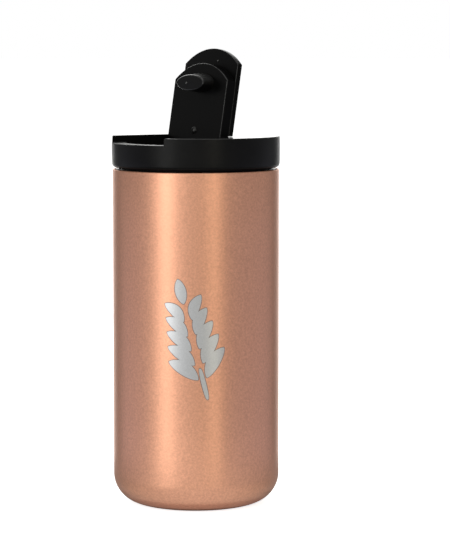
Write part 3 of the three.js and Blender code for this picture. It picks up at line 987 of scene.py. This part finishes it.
def dress_cad_nodes():
    """Gives the CAD nodes that are shown as they are their materials."""
    pin_steel = brushed_steel("pin_steel", around=False)
    looks = {
        "foil_wrap": copper_foil(),
        "getter": grey_alloy(),
        "port_seal": grey_alloy(),
        "base_plate": STEEL,
        "lid_insulation": white_foam(),
        "hinge_pin_left": pin_steel,
        "hinge_pin_right": pin_steel,
    }
    for name, material in looks.items():
        node = frame["nodes"][name]
        node.data.materials.clear()
        node.data.materials.append(material)


# ------------------------------------------------------------------ stage

def glow(name, strength, color=(1, 1, 1)):
    """A material that gives plain light."""
    material = bpy.data.materials.new(name)
    material.use_nodes = True
    tree = material.node_tree
    tree.nodes.clear()
    light = tree.nodes.new("ShaderNodeEmission")
    light.inputs["Color"].default_value = (*color, 1)
    light.inputs["Strength"].default_value = strength
    output = tree.nodes.new("ShaderNodeOutputMaterial")
    tree.links.new(light.outputs[0], output.inputs["Surface"])
    return material


def bounce_glow(name, behind, front, color):
    """Light from the table, strongest in front of the flask, where the lights fall on it."""
    material = glow(name, front, color)
    tree = material.node_tree
    coords = tree.nodes.new("ShaderNodeTexCoord")
    unit = tree.nodes.new("ShaderNodeVectorMath")
    unit.operation = "NORMALIZE"
    facing = tree.nodes.new("ShaderNodeVectorMath")
    facing.operation = "DOT_PRODUCT"
    facing.inputs[1].default_value = (0, -1, 0)
    fade = tree.nodes.new("ShaderNodeMapRange")
    fade.inputs["From Min"].default_value = -0.1
    fade.inputs["From Max"].default_value = 1
    fade.inputs["To Min"].default_value = behind
    fade.inputs["To Max"].default_value = front
    tree.links.new(coords.outputs["Object"], unit.inputs[0])
    tree.links.new(unit.outputs["Vector"], facing.inputs[0])
    tree.links.new(facing.outputs["Value"], fade.inputs["Value"])
    tree.links.new(fade.outputs["Result"], tree.nodes["Emission"].inputs["Strength"])
    return material


def camera_only(obj):
    """Shows a piece to the camera but keeps it out of the light and the reflections."""
    obj.visible_diffuse = False
    obj.visible_glossy = False
    obj.visible_transmission = False
    obj.visible_shadow = False


def sheet(name, inner, outer, z, material):
    """A flat ring at a height, or a disc if its inner radius is 0."""
    count = 64
    around = [(cos(tau * i / count), sin(tau * i / count)) for i in range(count)]
    verts = [(outer * x, outer * y, z) for x, y in around]
    faces = [tuple(range(count))]
    if inner:
        verts += [(inner * x, inner * y, z) for x, y in around]
        faces = [(i, (i + 1) % count, count + (i + 1) % count, count + i) for i in range(count)]
    obj = new_object(name, verts, faces)
    obj.data.materials.append(material)
    return obj


def floor():
    """Pale paper for the camera, and soft light thrown back up by the lit part of the table."""
    camera_only(sheet("floor", 0, 30, 0, floor_paper()))
    warm, white = (1, 0.82, 0.78), (1, 1, 1)
    rings = (  # inner and outer radius, strength behind and in front of the flask, colour
        (0, 0.025, 0.02, 0.02, warm),
        (0.025, 0.029, 0.02, 0.12, warm),
        (0.029, 0.034, 0.06, 0.55, warm),
        (0.034, 0.04, 0.1, 1.0, white),
        (0.04, 0.12, 0.4, 1.03, white),
    )
    for i, (inner, outer, behind, front, color) in enumerate(rings):
        light = bounce_glow(f"bounce_{i}", behind, front, color)
        bounce = sheet(f"bounce_{i}", inner, outer, -0.4 * MM, light)
        bounce.visible_camera = False


def panel(name, heading, distance, width, low, high, strength, color):
    """An upright light panel facing the flask, heading in degrees from the front towards +X."""
    a = radians(heading)
    centre = Vector((sin(a), -cos(a), 0)) * distance
    side = Vector((cos(a), sin(a), 0)) * width / 2
    bottom, top = Vector((0, 0, low)), Vector((0, 0, high))
    left, right = centre - side, centre + side
    verts = [left + bottom, right + bottom, right + top, left + top]
    obj = new_object(name, verts, [(0, 1, 2, 3)])
    obj.data.materials.append(glow(name, strength, color))
    obj.visible_camera = False


def white_world():
    """A plain white surround that lights the flask only dimly."""
    dim, full = 0.29, 1.0
    world = bpy.data.worlds.new("studio")
    world.use_nodes = True
    tree = world.node_tree
    background = tree.nodes["Background"]
    background.inputs["Color"].default_value = (1, 1, 1, 1)
    path = tree.nodes.new("ShaderNodeLightPath")
    level = tree.nodes.new("ShaderNodeMapRange")
    level.inputs["To Min"].default_value = dim
    level.inputs["To Max"].default_value = full
    tree.links.new(path.outputs["Is Camera Ray"], level.inputs["Value"])
    tree.links.new(level.outputs["Result"], background.inputs["Strength"])
    return world


def studio():
    """Soft panels round the flask, most with a low part that lights its foot, and one overhead."""
    bpy.context.scene.world = white_world()
    white, yellow, cool = (1, 1, 0.98), (1, 0.95, 0.8), (0.96, 0.98, 1.22)
    panels = (  # name, heading, distance, width, low and high edges, strength, colour
        ("key", -41, 1.5, 0.3, -0.08, 1.8, 6.4, white),
        ("key_low", -41, 1.5, 0.3, -0.5, -0.08, 4.0, white),
        ("fill", 25, 1.5, 0.16, -0.08, 1.8, 5.9, yellow),
        ("fill_low", 25, 1.5, 0.16, -0.5, -0.08, 4.1, yellow),
        ("front", -27, 1.7, 2.6, 0, 1.8, 0.9, white),
        ("front_low", -27, 1.7, 2.6, -0.5, 0, 1.15, white),
        ("left", -95, 1.6, 1.7, 0, 1.8, 0.42, white),
        ("left_low", -95, 1.6, 1.7, -0.5, 0, 0.88, cool),
        ("right", 82, 1.6, 2.8, 0, 1.8, 0.5, white),
        ("right_low", 82, 1.6, 2.8, -0.5, 0, 0.78, cool),
        ("back", 180, 2.0, 2.0, -0.5, 1.8, 2.3, white),
    )
    for name, *place_and_light in panels:
        panel(f"panel_{name}", *place_and_light)
    overhead = sheet("panel_top", 0, 0.8, 1.7, glow("panel_top", 2.0))
    overhead.visible_camera = False


def camera():
    """The photographed view: a long lens, looking slightly down."""
    look_down, turn_right = radians(5.383), radians(0.702)
    data = bpy.data.cameras.new("camera")
    data.lens = 160
    data.sensor_width = 36
    data.clip_end = 100
    obj = bpy.data.objects.new("camera", data)
    obj.location = (0, -1.0582, 0.2054)
    obj.rotation_euler = (pi / 2 - look_down, 0, -turn_right)
    bpy.context.scene.collection.objects.link(obj)
    bpy.context.scene.camera = obj


# ------------------------------------------------------------------ build

body_shell()
vessel_liner()
foot_cover()
emblem()
seal_ring()
lid_shell()
lid_screw_plug()
flap_plate()
flap_block()
gate_marks()
drink_stopper()
vent_pip()
dress_cad_nodes()
floor()
studio()
camera()
bpy.context.scene.view_settings.view_transform = "Standard"
